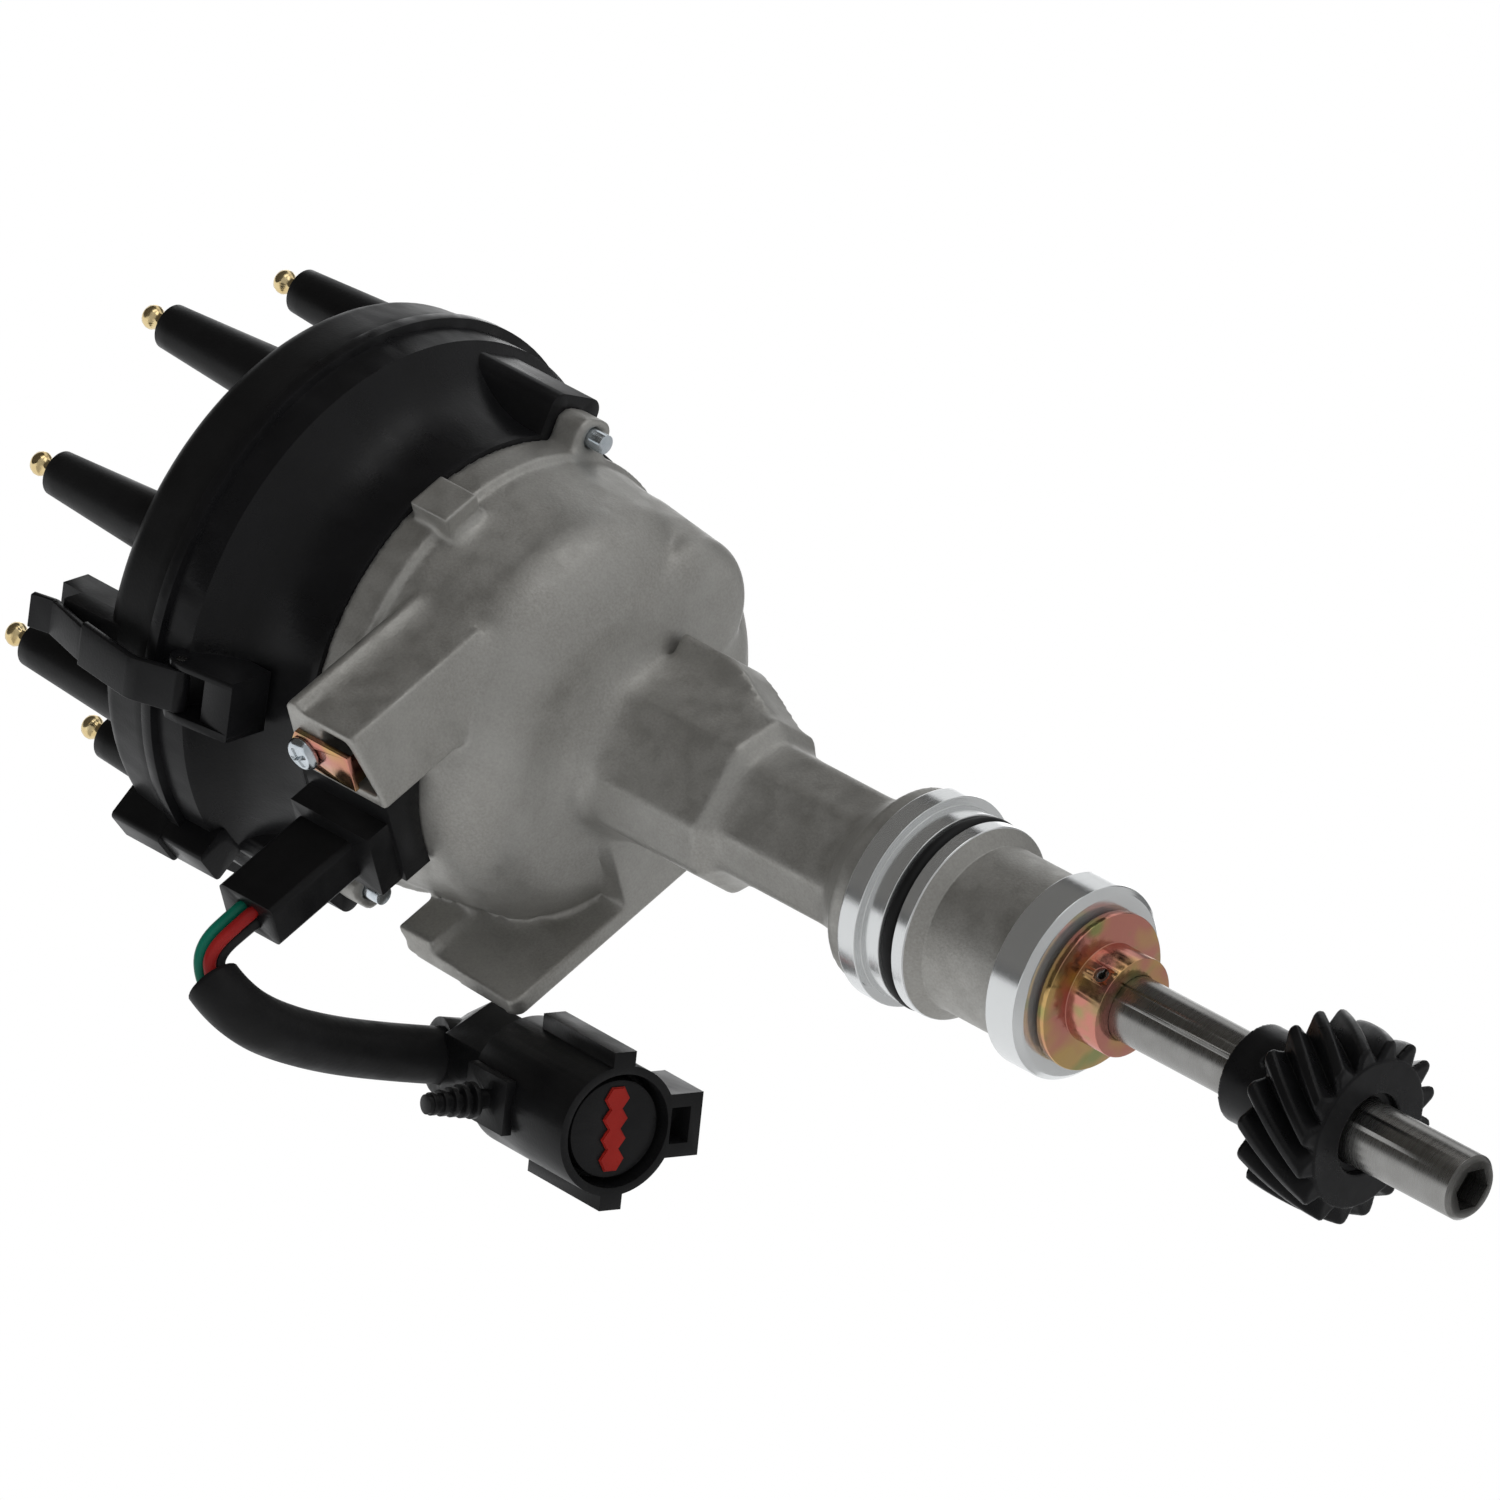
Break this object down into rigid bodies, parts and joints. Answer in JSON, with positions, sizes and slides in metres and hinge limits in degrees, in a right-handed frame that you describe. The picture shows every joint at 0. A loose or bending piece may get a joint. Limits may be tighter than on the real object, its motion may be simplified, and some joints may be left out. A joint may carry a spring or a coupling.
{
  "type": "ignition distributor",
  "caption": "Engine ignition distributor: die-cast body with neck and block pilot, flared adaptor and towered cap, sensor lead with plug, pinned collar and helical drive gear.",
  "frame": {"origin": "on the drive shaft's axis, in the face of the housing's seat ring that rests on the engine block", "axes": "+Z along the shaft's axis towards the cap's towers; +X towards the flat of the octane-rod block on the bowl; the sensor connector leaves the bowl along -Y"},
  "size_m": [0.1235, 0.1583, 0.3487],
  "materials": {
    "casting": "sand-matt die casting with machined pilot rings",
    "bearing_bronze": "sintered bronze",
    "shaft_steel": "ground steel",
    "gear_steel": "black oxide",
    "yellow_zinc": "iridescent yellow zinc plating",
    "zinc_screw": "clear zinc plating",
    "cap_plastic": "moulded thermoset, satin",
    "adaptor_plastic": "moulded thermoplastic, satin",
    "connector_plastic": "moulded, satin",
    "brass": "bright brass",
    "rubber": "matt",
    "red_silicone": "matt silicone",
    "carbon": "pressed carbon",
    "wire_green": "vinyl insulation",
    "wire_red": "vinyl insulation",
    "wire_black": "vinyl insulation"
  },
  "bodies": {
    "housing": {"housing": "casting", "lower_bush": "bearing_bronze", "upper_bush": "bearing_bronze", "stator_plate": "shaft_steel", "brush_spring": "shaft_steel", "clip_pin_a": "shaft_steel", "clip_pin_b": "shaft_steel", "octane_rod": "yellow_zinc", "octane_screw": "zinc_screw", "adaptor_screws": "zinc_screw", "distributor_cap": "cap_plastic", "cap_adaptor": "adaptor_plastic", "sensor_connector": "connector_plastic", "hall_sensor": "connector_plastic", "plug_shell": "connector_plastic", "plug_insert": "connector_plastic", "harness_clip": "connector_plastic", "cap_terminals": "brass", "coil_terminal": "brass", "o_ring": "rubber", "plug_seal": "rubber", "harness_sleeve": "rubber", "plug_core": "red_silicone", "wire_green": "wire_green", "wire_red": "wire_red", "wire_black_a": "wire_black", "wire_black_b": "wire_black"},
    "shaft": {"drive_shaft": "shaft_steel", "thrust_collar": "yellow_zinc", "collar_pin": "shaft_steel", "thrust_washer": "shaft_steel", "drive_gear": "gear_steel", "gear_roll_pin": "shaft_steel", "shutter_wheel": "shaft_steel", "rotor": "adaptor_plastic", "rotor_contact": "brass", "rotor_screws": "zinc_screw"},
    "clip_a": {"cap_clip_a": "adaptor_plastic"},
    "clip_b": {"cap_clip_b": "adaptor_plastic"},
    "brush": {"centre_brush": "carbon"}
  },
  "joints": [
    {"name": "shaft_spin", "type": "hinge", "parent": "housing", "child": "shaft", "pos_m": [0, 0, 0], "axis": [0, 0, 1], "continuous": true},
    {"name": "clip_a_hinge", "type": "hinge", "parent": "housing", "child": "clip_a", "pos_m": [0.02578, -0.05529, 0.1468], "axis": [0.9063, 0.4226, 0], "range_deg": [0, 70]},
    {"name": "clip_b_hinge", "type": "hinge", "parent": "housing", "child": "clip_b", "pos_m": [-0.02578, 0.05529, 0.1468], "axis": [-0.9063, -0.4226, 0], "range_deg": [0, 70]},
    {"name": "brush_slide", "type": "slide", "parent": "housing", "child": "brush", "axis": [0, 0, 1], "range_m": [0, 0.0015], "stiffness_N_per_m": 300, "springref_m": -0.001, "deforming": ["brush_spring"]}
  ]
}
